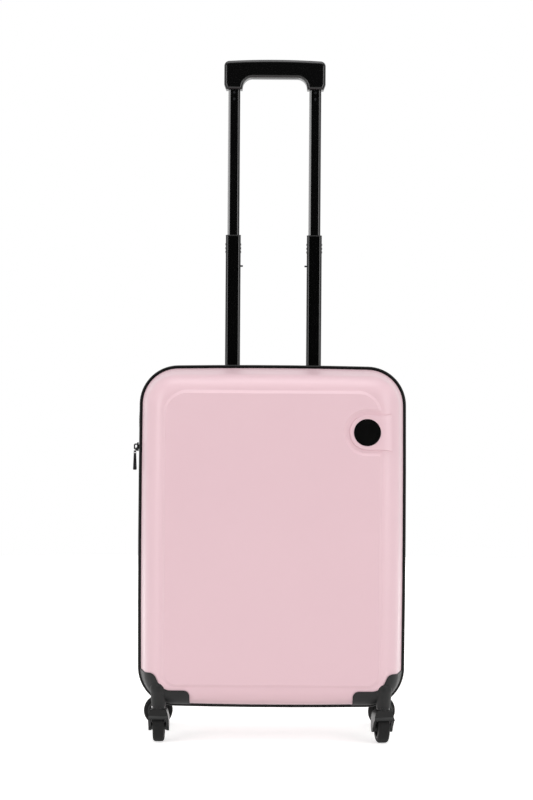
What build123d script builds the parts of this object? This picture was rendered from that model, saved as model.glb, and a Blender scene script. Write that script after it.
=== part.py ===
from build123d import *
import os
from math import radians, tan

# Hard-shell cabin suitcase on swivel casters, with its trolley handle pulled out.
# Millimetres, +Z up, front towards -Y, floor at z = 0 under the middle of the case.

# Case outline, taken at the zip rim
RIM_WIDTH = 398.0
RIM_BOTTOM = 41.0
RIM_TOP = 550.0
RIM_CORNER = 58.0
SIDE_BOW = 1.5
END_BOW = 2.5
RIM_PROUD = 4.0

# Shells
CASE_DEPTH = 200.0
WALL = 2.6
FRONT_DRAFT = 9.0
REAR_DRAFT = 6.0
FRONT_EDGE = 28.0
REAR_EDGE = 20.0

# Raised panel on each face, with margins from the rim outline
PANEL_RAISE = 2.5
PANEL_BEVEL = 4.0
PANEL_SIDE_MARGIN = 40.3
PANEL_LOW_MARGIN = 42.0
PANEL_TOP_MARGIN = 38.5
PANEL_TOP_RADIUS = 35.0
PANEL_LOW_RADIUS = 21.0

# Badge disc on its tongue, in a notch at the panel's right side
BADGE_RADIUS = 19.5
BADGE_SIDE_MARGIN = 62.6
BADGE_TOP_MARGIN = 98.0
BADGE_DEPTH = 1.6
BADGE_PROUD = 0.4
TONGUE_RADIUS = 25.6
TONGUE_REACH = 36.0
TONGUE_TAPER = 0.35
TONGUE_ROOT = 20.0
NOTCH_RADIUS = 30.0
NOTCH_MOUTH = 2.0

# Zip rim, measured from the parting plane at y = 0
COIL_GAP = 2.0
COIL_WIDTH = 2.6
COIL_THICK = 2.4
COIL_SUNK = 0.6
TAPE_WIDTH = 5.4
TAPE_THICK = 1.0
TAPE_SUNK = 1.4
PIPING_WIDTH = 7.0
PIPING_LIP = 1.4
PIPING_ROUND = 2.2
EDGE_COVER = 5.0
SLEEVE_WIDTH = 37.0
SLEEVE_THICK = 2.0
HINGE_LENGTH = 370.0
HINGE_SUNK = 0.6

# Lining and packing straps
LINING = 1.2
STRAP_WIDTH = 30.0
STRAP_THICK = 1.6
STRAP_HEIGHT = 300.0
BUCKLE_LENGTH = 62.0
BUCKLE_WIDTH = 40.0
BUCKLE_THICK = 6.0
BUCKLE_MIDDLE = 31.0
WINDOW_LENGTH = 20.6
WINDOW_WIDTH = 5.0
WINDOW_REACH = 13.3

# Trolley handle
TUBE_SPACING = 124.0
HANDLE_SETBACK = 30.0
LOWER_TRAVEL = 250.0
UPPER_TRAVEL = 221.0
STAGE_REST_GAP = 1.0
UPPER_WIDTH = 18.4
UPPER_DEPTH = 13.0
LOWER_WIDTH = 23.0
LOWER_DEPTH = 17.6
OUTER_WIDTH = 27.6
OUTER_DEPTH = 22.2
TUBE_WALL = 1.2
TUBE_ROUND = 4.4
TUBE_OVERLAP = 66.0
OUTER_BOTTOM = 150.0
COLLAR_HEIGHT = 35.0
COLLAR_LIP = 1.5
RIB_PROUD = 0.6
RIB_HEIGHT = 2.8
RIB_SPREAD = 7.0
RIB_DROPS = (14.0, 20.0, 25.5)
STOP_PIN_DROP = 47.0
STOP_PIN_RADIUS = 1.35
STOP_PIN_PROUD = 3.4
CLICK_HOLE_DROP = 145.0
CLICK_HOLE_RADIUS = 1.6
BUSH_FLANGE = 9.0
BUSH_SPIGOT = 15.0
RIVET_RADIUS = 2.0
RIVET_PROUD = 0.15
RIVET_DROPS = (4.0, 14.0)

# Cup that takes the grip in the top of the rear shell
CUP_DROP = 51.0
CUP_WIDTH = 176.0
CUP_DEPTH = 30.0
CUP_ROUND = 13.0
CUP_WALL = 2.0
CUP_FLOOR = 3.0
CUP_FLANGE = 4.0
CUP_FLANGE_THICK = 2.0
TUNNEL_MARGIN = 4.0
FOOT_HEIGHT = 12.0
FOOT_MARGIN = 6.0

# Grip and its release trigger
GRIP_WIDTH = 155.0
GRIP_DEPTH = 24.0
GRIP_HEIGHT = 46.0
GRIP_ARCH = 2.5
GRIP_BAR = 28.0
GRIP_LEG_TOP = 30.0
GRIP_LEG_FOOT = 25.0
GRIP_INNER_ROUND = 15.0
GRIP_OUTER_ROUND = 8.0
GRIP_EDGE = 5.0
GRIP_SOCKET = 20.0
TRIGGER_LENGTH = 73.0
TRIGGER_DEPTH = 11.0
TRIGGER_PROUD = 0.4
TRIGGER_TRAVEL = 4.0
CROSSBAR_DEPTH = 7.0
CROSSBAR_HEIGHT = 6.0
ROD_RADIUS = 2.5

# Corner guards, with their reach from the corner of the rim outline
GUARD_THICK = 1.4
GUARD_REACH = 81.0
GUARD_HEIGHT = 63.0
GUARD_STEP_REACH = 41.0
GUARD_STEP_HEIGHT = 37.0
GUARD_LEAN = 12.0
GUARD_RIM_DROP = 6.0
GUARD_ROUNDS = (11.0, 20.0, 9.0)
HOUSING_RADIUS = 9.2
HOUSING_LENGTH = 25.0
BULGE_FOOT_RADIUS = 10.2
BULGE_RADIUS = 12.0
BULGE_LENGTH = 28.0
BULGE_LEAN = 18.0

# Casters
CASTER_INSET = 36.0
FRONT_CASTER_SETBACK = 21.0
REAR_CASTER_SETBACK = 28.0
FORK_TOP = 52.3
WHEEL_RADIUS = 22.0
WHEEL_WIDTH = 16.5
WHEEL_ROOM = 1.2
HUB_RADIUS = 15.5
HUB_RIM = 2.5
HUB_WEB = 5.0
HUB_HOLES = 6
HUB_HOLE_RADIUS = 2.6
BOSS_RADIUS = 5.5
TYRE_ROUND = 4.0
TRAIL = 9.0
CROWN_RADIUS = 9.4
CROWN_DEPTH = 7.0
FORK_WIDTH = 30.0
FORK_FLARE = 2.4
FORK_FOOT_WIDTH = 27.0
LEG_THICK = 4.0
HOOD_RADIUS = 25.5
HOOD_LIP = 35.0
HOOD_FRONT = 19.0
LEG_FOOT_RADIUS = 6.5
AXLE_RADIUS = 2.5
SWIVEL_PIN_RADIUS = 4.0
SWIVEL_PIN_LENGTH = 28.0
FRONT_RIGHT_YAW = 8.0
REAR_LEFT_YAW = 90.0
REAR_RIGHT_YAW = -55.0

# Zip slider and pull
SLIDER_HEIGHT = 427.0
SLIDER_LENGTH = 13.0
SLIDER_WIDTH = 10.0
SLIDER_PLATE = 2.2
SLIDER_LIFT = 1.2
SLIDER_ROUND = 2.5
SLIDER_EDGE = 0.55
SLIDER_POST = 6.5
BAIL_RISE = 5.0
BAIL_LENGTH = 9.6
BAIL_WIRE = 1.1
BAIL_BEND = 1.8
PULL_LENGTH = 31.0
PULL_NECK = 3.4
PULL_FOOT = 5.6
PULL_THICK = 1.6
PULL_ROUND = 1.4
PULL_LOOP_WALL = 1.2
PULL_EYE_DROP = 5.2
PULL_EYE_RADIUS = 0.9

# Clearances: between moving bodies, running fits, and pieces of one body
CLEAR = 0.3
RUN = 0.05
SEAT = 0.05

# Places worked out from the sizes above
HALF_WIDTH = RIM_WIDTH / 2
HALF_DEPTH = CASE_DEPTH / 2
RIM_MID = (RIM_BOTTOM + RIM_TOP) / 2
FACE_Y = HALF_DEPTH - PANEL_RAISE
COIL_NEAR = COIL_GAP / 2
TAPE_NEAR = COIL_NEAR + COIL_WIDTH
PIPING_NEAR = TAPE_NEAR + TAPE_WIDTH
PIPING_FAR = PIPING_NEAR + PIPING_WIDTH
SHELL_NEAR = PIPING_FAR - EDGE_COVER
BADGE_X = HALF_WIDTH - BADGE_SIDE_MARGIN
BADGE_Z = RIM_TOP - BADGE_TOP_MARGIN
TUBE_X = TUBE_SPACING / 2
HANDLE_Y = HALF_DEPTH - HANDLE_SETBACK
CUP_FLOOR_Z = RIM_TOP - CUP_DROP
OUTER_TOP = CUP_FLOOR_Z - CUP_FLOOR
LOWER_TOP = CUP_FLOOR_Z + LOWER_TRAVEL + STAGE_REST_GAP
LOWER_BOTTOM = CUP_FLOOR_Z - TUBE_OVERLAP
GRIP_FOOT = LOWER_TOP + UPPER_TRAVEL + STAGE_REST_GAP
GRIP_TOP = GRIP_FOOT + GRIP_HEIGHT
GRIP_UNDER = GRIP_TOP - GRIP_BAR
UPPER_TOP = GRIP_FOOT + GRIP_SOCKET
UPPER_BOTTOM = LOWER_TOP - TUBE_OVERLAP
CASTER_X = HALF_WIDTH - CASTER_INSET
HOUSING_FOOT = FORK_TOP + CLEAR
LEG_INNER = FORK_WIDTH / 2 - LEG_THICK
FAR = RIM_WIDTH + RIM_TOP
FRONT, REAR = -1, 1
LEFT, RIGHT = -1, 1
CASTER_Y = {FRONT: FRONT_CASTER_SETBACK - HALF_DEPTH, REAR: HALF_DEPTH - REAR_CASTER_SETBACK}


def at_depth(y):
    """Plane facing the front at depth y, with its own axes along X and Z."""
    return Plane.XZ.offset(-y)


def around(middle, half):
    """Limits a half-width to both sides of a middle."""
    return middle - half, middle + half


def block(x, y, z):
    """Box between two limits on each axis."""
    size = Box(x[1] - x[0], y[1] - y[0], z[1] - z[0])
    return Pos((x[0] + x[1]) / 2, (y[0] + y[1]) / 2, (z[0] + z[1]) / 2) * size


def both_sides(solid):
    """The solid and its mirror image across the middle of the case."""
    return Compound(children=[solid, mirror(solid, Plane.YZ)])


# Case outline and the drafted halves

def case_outline(grow):
    """Rounded rectangle whose four sides bow outwards a little."""
    half = HALF_WIDTH + grow
    low, high = RIM_BOTTOM - grow, RIM_TOP + grow
    left, right = SIDE_BOW - half, half - SIDE_BOW
    bottom, top = low + END_BOW, high - END_BOW
    corners = [(left, bottom), (right, bottom), (right, top), (left, top)]
    bows = [(0, low), (half, RIM_MID), (0, high), (-half, RIM_MID)]
    sides = [ThreePointArc(corners[i], bows[i], corners[(i + 1) % 4]) for i in range(4)]
    face = make_face(sides)
    return fillet(face.vertices(), RIM_CORNER + grow)


def half_solid(side, grow, near=SHELL_NEAR):
    """One half of the case as a solid block, drafted, with a rounded outer edge."""
    draft = FRONT_DRAFT if side == FRONT else REAR_DRAFT
    edge = FRONT_EDGE if side == FRONT else REAR_EDGE
    slope = tan(radians(draft))
    far = FACE_Y + grow
    sections = []
    for depth in (near, far):
        inset = RIM_PROUD + (depth - SHELL_NEAR) * slope
        sections.append(at_depth(side * depth) * case_outline(grow - inset))
    solid = loft(sections, ruled=True)
    outer_face = solid.faces().sort_by(Axis.Y)[0 if side == FRONT else -1]
    return fillet(outer_face.edges(), edge + grow)


def ring(side, outer, inner, near, far):
    """Band that follows the rim outline between two depths."""
    face = case_outline(outer) - case_outline(inner)
    return extrude(at_depth(side * near) * face, amount=-side * (far - near))


# Raised panels

def stadium(radius, reach):
    """Round end at the badge that runs on to the right."""
    run = Pos(BADGE_X + reach / 2, BADGE_Z) * Rectangle(reach, 2 * radius)
    return Pos(BADGE_X, BADGE_Z) * Circle(radius) + run


def panel_outline(inset, notched):
    """Panel with larger corners at the top, and a notch for the badge if asked."""
    half = HALF_WIDTH - PANEL_SIDE_MARGIN - inset
    low = RIM_BOTTOM + PANEL_LOW_MARGIN + inset
    high = RIM_TOP - PANEL_TOP_MARGIN - inset
    face = Pos(0, (low + high) / 2) * Rectangle(2 * half, high - low)
    face = fillet(face.vertices().group_by(Axis.Y)[-1], PANEL_TOP_RADIUS - inset)
    face = fillet(face.vertices().group_by(Axis.Y)[0], PANEL_LOW_RADIUS - inset)
    if not notched:
        return face
    notch = NOTCH_RADIUS + inset
    face = face - stadium(notch, HALF_WIDTH)
    mouth = [v for v in face.vertices() if abs(abs(v.Y - BADGE_Z) - notch) < SEAT and v.X > BADGE_X + SEAT]
    return fillet(mouth, NOTCH_MOUTH)


def panel_prism(side, extra):
    """Block with sloping sides that cuts a raised panel out of a thicker half."""
    sections = []
    for depth in (-WALL - CLEAR, 2 * PANEL_RAISE):
        inset = extra + depth * PANEL_BEVEL / PANEL_RAISE
        sections.append(at_depth(side * (FACE_Y + depth)) * panel_outline(inset, side == FRONT))
    return loft(sections, ruled=True)


def tongue_prism():
    """Sloping block for the tongue that carries the badge."""
    sections = []
    for depth in (-TONGUE_ROOT, 2 * PANEL_RAISE):
        radius = TONGUE_RADIUS - depth * TONGUE_TAPER
        sections.append(at_depth(FRONT * (FACE_Y + depth)) * stadium(radius, TONGUE_REACH))
    return loft(sections, ruled=True)


def badge_disc(grow):
    """Disc that fills the badge's pocket and stands a little proud of the tongue."""
    disc = Pos(BADGE_X, BADGE_Z) * Circle(BADGE_RADIUS + grow)
    return extrude(at_depth(-HALF_DEPTH + BADGE_DEPTH) * disc, amount=BADGE_DEPTH + BADGE_PROUD)


def half_shell(side):
    """Thin moulded wall with its raised panel, open towards the parting plane."""
    hollow = half_solid(side, -WALL, PIPING_NEAR)
    hollow += half_solid(side, PANEL_RAISE - WALL, PIPING_NEAR) & panel_prism(side, WALL)
    outer = half_solid(side, 0) + (half_solid(side, PANEL_RAISE) & panel_prism(side, 0))
    if side == FRONT:
        outer += half_solid(side, PANEL_RAISE) & tongue_prism()
        outer -= badge_disc(SEAT)
    return outer - hollow


# Corner guards with the caster housings, made for the right side and mirrored

def domed_post(foot_radius, radius, length):
    """Round post with a domed top, carried on below its foot for a cut at a slant."""
    top, spare = length + radius, -foot_radius
    dome = CenterArc((0, length), radius, 0, 90)
    sides = Polyline((0, top), (0, spare), (foot_radius, spare), (foot_radius, 0), (radius, length))
    return revolve(Plane.XZ * make_face([*sides.edges(), dome]), Axis.Z)


def housing(side, grow):
    """Neck that takes the swivel pin, and a bulge that leans out to the case's face."""
    neck = domed_post(HOUSING_RADIUS + grow, HOUSING_RADIUS + grow, HOUSING_LENGTH)
    bulge = domed_post(BULGE_FOOT_RADIUS + grow, BULGE_RADIUS + grow, BULGE_LENGTH)
    posts = neck + Rot(-side * BULGE_LEAN, 0, 0) * bulge
    posts &= block((-FAR, FAR), (-FAR, FAR), (0, FAR))
    return Pos(CASTER_X, CASTER_Y[side], HOUSING_FOOT) * posts


def guard_outline(drop):
    """Corner cover as seen from the front, with its stepped inner edge and its top lowered by a drop."""
    top = RIM_BOTTOM + GUARD_HEIGHT - drop
    step = HALF_WIDTH - GUARD_STEP_REACH, RIM_BOTTOM + GUARD_STEP_HEIGHT
    inner = HALF_WIDTH - GUARD_REACH
    bends = [(step[0] + GUARD_LEAN, top), step, (inner, step[1])]
    face = make_face(Polyline((FAR, top), *bends, (inner, 0), (FAR, 0), close=True))
    for bend, radius in zip(bends, GUARD_ROUNDS):
        face = fillet(face.vertices().sort_by_distance((*bend, 0))[0], radius)
    return face


def swivel_pin(side, grow):
    """Pin pressed into the housing, standing out below it for the fork."""
    foot = FORK_TOP - CROWN_DEPTH
    length = SWIVEL_PIN_LENGTH + grow
    return Pos(CASTER_X, CASTER_Y[side], foot + length / 2) * Cylinder(SWIVEL_PIN_RADIUS + grow, length)


def corner_guard(side):
    """Thin cover over the lower corner, in one piece with the caster housing."""
    near = PIPING_FAR + SEAT
    prism = loft([at_depth(side * near) * guard_outline(GUARD_RIM_DROP),
                  at_depth(side * (near + HALF_DEPTH)) * guard_outline(0)], ruled=True)
    skin = (half_solid(side, GUARD_THICK) - half_solid(side, SEAT)) & prism
    return skin + housing(side, 0) - swivel_pin(side, SEAT)


# Zip rim

def hinge_zone(gap):
    """Stretch of the right side where cloth joins the halves in place of the zip."""
    half = HINGE_LENGTH / 2 - gap
    return block((HALF_WIDTH - RIM_CORNER / 2, FAR), (-FAR, FAR), (RIM_MID - half, RIM_MID + half))


def piping(side):
    """Rounded binding that grips the shell's edge in a groove."""
    band = extrude(at_depth(side * PIPING_NEAR) * case_outline(0), amount=-side * PIPING_WIDTH)
    band = fillet(band.faces().filter_by(Axis.Y).edges(), PIPING_ROUND)
    inner = case_outline(-RIM_PROUD - WALL - PIPING_LIP)
    band -= extrude(at_depth(side * PIPING_NEAR) * inner, amount=-side * PIPING_WIDTH)
    groove = half_solid(side, SEAT, SHELL_NEAR - SEAT) - half_solid(side, -WALL - SEAT, SHELL_NEAR - SEAT)
    return band - groove


def zip_coil(side):
    return ring(side, -COIL_SUNK, -COIL_SUNK - COIL_THICK, COIL_NEAR, TAPE_NEAR) - hinge_zone(0)


def zip_tape(side):
    return ring(side, -TAPE_SUNK, -TAPE_SUNK - TAPE_THICK, TAPE_NEAR, PIPING_NEAR) - hinge_zone(0)


def hinge_tape(side):
    return ring(side, -HINGE_SUNK, -HINGE_SUNK - TAPE_THICK, CLEAR / 2, PIPING_NEAR) & hinge_zone(CLEAR)


def piping_sleeve():
    """Short sleeve over the joint of the binding, under the middle of the case."""
    band = ring(REAR, SLEEVE_THICK, SEAT, PIPING_NEAR, PIPING_FAR)
    half = SLEEVE_WIDTH / 2
    return band & block((-half, half), (-FAR, FAR), (0, RIM_MID))


# Trolley cup in the rear shell, outer tubes and foot bracket

def cup_plan(grow):
    return Pos(0, HANDLE_Y) * RectangleRounded(CUP_WIDTH + 2 * grow, CUP_DEPTH + 2 * grow, CUP_ROUND + grow)


def upright(plan, low, high):
    """Plan outline raised from one height to another."""
    return extrude(Pos(0, 0, low) * plan, amount=high - low)


def section(width, depth, grow=0.0, radius=TUBE_ROUND):
    """Rounded tube section at the right-hand tube, made larger or smaller by a margin."""
    return Pos(TUBE_X, HANDLE_Y) * RectangleRounded(width + 2 * grow, depth + 2 * grow, radius + grow)


def tube(width, depth, low, high):
    return upright(section(width, depth) - section(width, depth, -TUBE_WALL), low, high)


def stop_pin(grow, drop=0.0, reach=0.0):
    """Stop pin on the inner side of the right lower tube, lengthened downwards for its slot."""
    x = TUBE_X - LOWER_WIDTH / 2
    height = LOWER_TOP - STOP_PIN_DROP
    radius = STOP_PIN_RADIUS + grow
    if drop:
        return block((x - STOP_PIN_PROUD - reach, x + TUBE_WALL), (HANDLE_Y - radius, HANDLE_Y + radius),
                     (height - drop - radius, height))
    length = STOP_PIN_PROUD + TUBE_WALL + reach
    place = Pos(x - STOP_PIN_PROUD + length / 2 - reach, HANDLE_Y, height)
    return place * Rot(0, 90, 0) * Cylinder(radius, length)


def handle_cup():
    """Cup with a thin flange that follows the shell's top, and two wells for the tubes."""
    top = RIM_TOP + CUP_DROP
    skin = half_solid(REAR, CUP_FLANGE_THICK)
    cup = upright(cup_plan(CUP_WALL), OUTER_TOP, top) & skin
    cup += upright(cup_plan(CUP_WALL + CUP_FLANGE), CUP_FLOOR_Z, top) & (skin - half_solid(REAR, SEAT))
    cup -= upright(cup_plan(0), CUP_FLOOR_Z, top)
    well = upright(section(LOWER_WIDTH, LOWER_DEPTH, RIB_PROUD + CLEAR), OUTER_TOP, top)
    well += stop_pin(CLEAR, LOWER_TRAVEL, CLEAR)
    return cup - both_sides(well)


def outer_tube():
    """Fixed tube inside the case, slotted at the top for the stop pin."""
    body = tube(OUTER_WIDTH, OUTER_DEPTH, OUTER_BOTTOM, OUTER_TOP)
    return body - stop_pin(CLEAR, LOWER_TRAVEL, OUTER_WIDTH)


def foot_bracket():
    """Block on the rear wall that holds the feet of both outer tubes."""
    half = TUBE_X + OUTER_WIDTH / 2 + FOOT_MARGIN
    near = HANDLE_Y - OUTER_DEPTH / 2 - FOOT_MARGIN / 2
    far = FACE_Y + PANEL_RAISE - WALL - SEAT
    bracket = block((-half, half), (near, far), (OUTER_BOTTOM - FOOT_HEIGHT, OUTER_BOTTOM + FOOT_HEIGHT))
    pocket = upright(section(OUTER_WIDTH, OUTER_DEPTH, SEAT), OUTER_BOTTOM, OUTER_TOP)
    return bracket - both_sides(pocket)


# Lining and straps

TUNNEL_NEAR = HANDLE_Y - CUP_DEPTH / 2 - CUP_WALL - TUNNEL_MARGIN


def tunnel(grow):
    """Space behind the lining that the cup, the tubes and their bracket take up."""
    half = CUP_WIDTH / 2 + CUP_WALL + TUNNEL_MARGIN + grow
    low = OUTER_BOTTOM - FOOT_HEIGHT - TUNNEL_MARGIN - grow
    return block((-half, half), (TUNNEL_NEAR - grow, FAR), (low, FAR))


def lining_solid(side, depth, near):
    """Room inside one half, less the housings and the tunnel, shrunk by a depth."""
    room = half_solid(side, -WALL - CLEAR - depth, near) - both_sides(housing(side, CLEAR + depth))
    return room - tunnel(depth) if side == REAR else room


def half_lining(side):
    return lining_solid(side, 0, PIPING_FAR + CLEAR) - lining_solid(side, LINING, PIPING_NEAR)


STRAP_Y = TUNNEL_NEAR - LINING - CLEAR - BUCKLE_THICK / 2


def strap_band(grow):
    """Flat band across the rear half."""
    thick, width = STRAP_THICK / 2 + grow, STRAP_WIDTH / 2 + grow
    return block((-FAR, FAR), around(STRAP_Y, thick), around(STRAP_HEIGHT, width))


def packing_straps():
    """Two bands from the side walls that end inside the buckle."""
    half = BUCKLE_MIDDLE / 2
    gap = block((-half, half), (-FAR, FAR), (0, RIM_TOP))
    return (strap_band(0) - gap) & lining_solid(REAR, LINING + SEAT, PIPING_NEAR)


def strap_buckle():
    """Side-release buckle with a slot for each band and open windows at its sides."""
    body = extrude(at_depth(STRAP_Y) * RectangleRounded(BUCKLE_LENGTH, BUCKLE_WIDTH, BUCKLE_THICK),
                   amount=BUCKLE_THICK / 2, both=True)
    window = Rectangle(WINDOW_LENGTH, WINDOW_WIDTH)
    windows = Pos(0, WINDOW_REACH) * window + Pos(0, -WINDOW_REACH) * window
    body -= extrude(at_depth(STRAP_Y) * windows, amount=BUCKLE_THICK, both=True)
    half = BUCKLE_MIDDLE / 2 - SEAT
    solid_middle = block((-half, half), (-FAR, FAR), (-FAR, FAR))
    return Pos(0, 0, STRAP_HEIGHT) * body - (strap_band(SEAT) - solid_middle)


# Sliding stages of the handle, made for the right side and mirrored

def lower_tube():
    """Wider stage, with windows for the collar's ribs, the stop pin and a click hole."""
    body = tube(LOWER_WIDTH, LOWER_DEPTH, LOWER_BOTTOM, LOWER_TOP - COLLAR_LIP)
    body -= collar_ribs(SEAT)
    body -= stop_pin(SEAT)
    hole = Rot(0, 90, 0) * Cylinder(CLICK_HOLE_RADIUS, LOWER_WIDTH)
    return body - Pos(TUBE_X - LOWER_WIDTH / 2, HANDLE_Y, LOWER_TOP - CLICK_HOLE_DROP) * hole


def collar_ribs(grow):
    """Ribs on both sides of the collar that click into the tube's windows."""
    half = LOWER_WIDTH / 2 + RIB_PROUD + grow
    spread = RIB_SPREAD / 2 + grow
    ribs = []
    for drop in RIB_DROPS:
        middle = LOWER_TOP - drop
        rise = RIB_HEIGHT / 2 + grow
        ribs.append(block((TUBE_X - half, TUBE_X + half), (HANDLE_Y - spread, HANDLE_Y + spread),
                          (middle - rise, middle + rise)))
    return Part() + ribs


def collar():
    """Guide inside the top of the lower tube, with a thin lip over its end."""
    low = LOWER_TOP - COLLAR_HEIGHT
    body = upright(section(LOWER_WIDTH, LOWER_DEPTH, -TUBE_WALL - SEAT), low, LOWER_TOP)
    body += upright(section(LOWER_WIDTH, LOWER_DEPTH), LOWER_TOP - COLLAR_LIP, LOWER_TOP)
    body += collar_ribs(0)
    return body - upright(section(UPPER_WIDTH, UPPER_DEPTH, CLEAR), low, LOWER_TOP)


def end_bush(width, depth, guide_width, guide_depth, bottom):
    """Plug in a tube's lower end whose flange slides inside the next tube."""
    bush = upright(section(guide_width, guide_depth, -TUBE_WALL - CLEAR), bottom - BUSH_FLANGE, bottom)
    bush += upright(section(width, depth, -TUBE_WALL - SEAT), bottom, bottom + BUSH_SPIGOT)
    bore = Pos(TUBE_X, HANDLE_Y, bottom + BUSH_SPIGOT) * Cylinder(ROD_RADIUS + CLEAR, 2 * BUSH_SPIGOT)
    return bush - bore


def tube_rivets(grow):
    """Two flat rivets in the front of the upper tube, just under the grip."""
    front = HANDLE_Y - UPPER_DEPTH / 2
    length = RIVET_PROUD + TUBE_WALL
    rivets = []
    for drop in RIVET_DROPS:
        place = Pos(TUBE_X, front - RIVET_PROUD + length / 2, GRIP_FOOT - drop)
        rivets.append(place * Rot(90, 0, 0) * Cylinder(RIVET_RADIUS + grow, length))
    return rivets


def upper_tube():
    body = tube(UPPER_WIDTH, UPPER_DEPTH, UPPER_BOTTOM, UPPER_TOP)
    for rivet in tube_rivets(SEAT):
        body -= rivet
    return body


# Grip, release trigger and push rods

CROSSBAR_LOW = UPPER_TOP + CLEAR


def grip_outline():
    """Grip seen from the front: arched top, two legs and round inner corners."""
    half = GRIP_WIDTH / 2
    shoulder = GRIP_TOP - GRIP_ARCH
    inner = half - GRIP_LEG_TOP
    foot_in, foot_out = TUBE_X - GRIP_LEG_FOOT / 2, TUBE_X + GRIP_LEG_FOOT / 2
    cuff = GRIP_FOOT + GRIP_OUTER_ROUND
    leg = [(foot_out, GRIP_FOOT), (foot_in, GRIP_FOOT)]
    right = [(half, shoulder), (half, cuff), *leg, (inner, GRIP_UNDER)]
    left = [(-x, z) for x, z in reversed(right)]
    sides = Polyline(*right, *left)
    face = make_face([*sides.edges(), ThreePointArc(left[-1], (0, GRIP_TOP), right[0])])
    corners = face.vertices().sort_by(Axis.Y)
    face = fillet(corners[-2:], GRIP_OUTER_ROUND)
    under = [v for v in face.vertices() if abs(v.Y - GRIP_UNDER) < SEAT]
    return fillet(under, GRIP_INNER_ROUND)


def trigger(grow, lift):
    """Strip under the grip and the bar inside it, swept up by a lift."""
    strip = block(around(0, TRIGGER_LENGTH / 2 + grow), around(HANDLE_Y, TRIGGER_DEPTH / 2 + grow),
                  (GRIP_UNDER - TRIGGER_PROUD - grow, CROSSBAR_LOW + lift))
    reach = TUBE_X + ROD_RADIUS + grow
    bar = block((-reach, reach), around(HANDLE_Y, CROSSBAR_DEPTH / 2 + grow),
                (CROSSBAR_LOW - grow, CROSSBAR_LOW + CROSSBAR_HEIGHT + lift))
    return strip + bar


def grip():
    """Whole grip, hollowed for the trigger, its bar and the tops of the tubes."""
    body = extrude(at_depth(HANDLE_Y) * grip_outline(), amount=GRIP_DEPTH / 2, both=True)
    body = fillet(body.faces().filter_by(Axis.Y).edges(), GRIP_EDGE)
    body -= trigger(CLEAR, TRIGGER_TRAVEL + CLEAR)
    socket = upright(section(UPPER_WIDTH, UPPER_DEPTH, SEAT), GRIP_FOOT - GRIP_EDGE, UPPER_TOP)
    return body - both_sides(socket)


def push_rod():
    """Rod in the upper tube that the trigger's bar lifts."""
    low = UPPER_BOTTOM + BUSH_SPIGOT / 2
    length = CROSSBAR_LOW - low
    return Pos(TUBE_X, HANDLE_Y, low + length / 2) * Cylinder(ROD_RADIUS, length)


# Casters, made about the swivel axis with the wheel trailing towards +Y

def crosswise(solid):
    """Turns a solid's axis from Z to X and sets it on the axle."""
    return Pos(0, TRAIL, WHEEL_RADIUS) * Rot(0, 90, 0) * solid


def fork_side():
    """Fork seen from the side: hood over the wheel's front, leg down to the axle, crown on top."""
    back = TRAIL + LEG_FOOT_RADIUS
    room = Pos(back - FAR / 2, HOOD_LIP + FAR / 2) * Rectangle(FAR, FAR)
    hood = Pos(TRAIL, WHEEL_RADIUS) * Circle(HOOD_RADIUS) & room
    crown_low = WHEEL_RADIUS + HOOD_RADIUS - CROWN_RADIUS
    crown = Pos(0, (crown_low + FORK_TOP) / 2) * Rectangle(2 * CROWN_RADIUS, FORK_TOP - crown_low)
    foot = Pos(TRAIL, WHEEL_RADIUS) * Circle(LEG_FOOT_RADIUS)
    leg = make_face(Polyline((TRAIL - HOOD_FRONT, HOOD_LIP), (back, HOOD_LIP), (back, WHEEL_RADIUS),
                             (TRAIL - LEG_FOOT_RADIUS, WHEEL_RADIUS), close=True))
    return hood + crown + foot + leg


def fork_front():
    """Fork seen from the front: narrow crown that flares in a curve to the two legs."""
    half = FORK_WIDTH / 2
    middle = (CROWN_RADIUS + half) / 2, (FORK_TOP + HOOD_LIP) / 2 + FORK_FLARE
    right = [(CROWN_RADIUS, FORK_TOP), middle, (half, HOOD_LIP), (FORK_FOOT_WIDTH / 2, 0)]
    left = [(-x, z) for x, z in reversed(right)]
    sides = [Spline(*right), Line(right[-1], left[0]), Spline(*left), Line(left[-1], right[0])]
    return make_face(sides)


def fork():
    body = extrude(Plane.YZ * fork_side(), amount=FORK_WIDTH / 2, both=True)
    body &= extrude(Plane.XZ * fork_front(), amount=FAR, both=True)
    neck_low = FORK_TOP - CROWN_DEPTH / 2
    neck = Pos(0, 0, FORK_TOP) * Cylinder(CROWN_RADIUS, CROWN_DEPTH)
    body -= block((-FAR, FAR), (-FAR, FAR), (neck_low, FAR)) - neck
    body -= crosswise(Cylinder(WHEEL_RADIUS + WHEEL_ROOM, 2 * LEG_INNER))
    body -= crosswise(Cylinder(AXLE_RADIUS + SEAT, 2 * FORK_WIDTH))
    return body - Pos(0, 0, FORK_TOP) * Cylinder(SWIVEL_PIN_RADIUS + RUN, 2 * FORK_TOP - 2 * WHEEL_RADIUS)


def hub():
    """Wheel centre with a thin web, round holes and a boss that spaces it from the legs."""
    recess = Cylinder(HUB_RADIUS - HUB_RIM, WHEEL_WIDTH) - Cylinder(BOSS_RADIUS, WHEEL_WIDTH)
    body = Cylinder(HUB_RADIUS, WHEEL_WIDTH) - (recess - Cylinder(HUB_RADIUS, HUB_WEB))
    middle = (HUB_RADIUS - HUB_RIM + BOSS_RADIUS) / 2
    for hole in PolarLocations(middle, HUB_HOLES):
        body -= hole * Cylinder(HUB_HOLE_RADIUS, WHEEL_WIDTH)
    body += Cylinder(BOSS_RADIUS, 2 * (LEG_INNER - CLEAR))
    return crosswise(body - Cylinder(AXLE_RADIUS + RUN, FORK_WIDTH))


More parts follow.
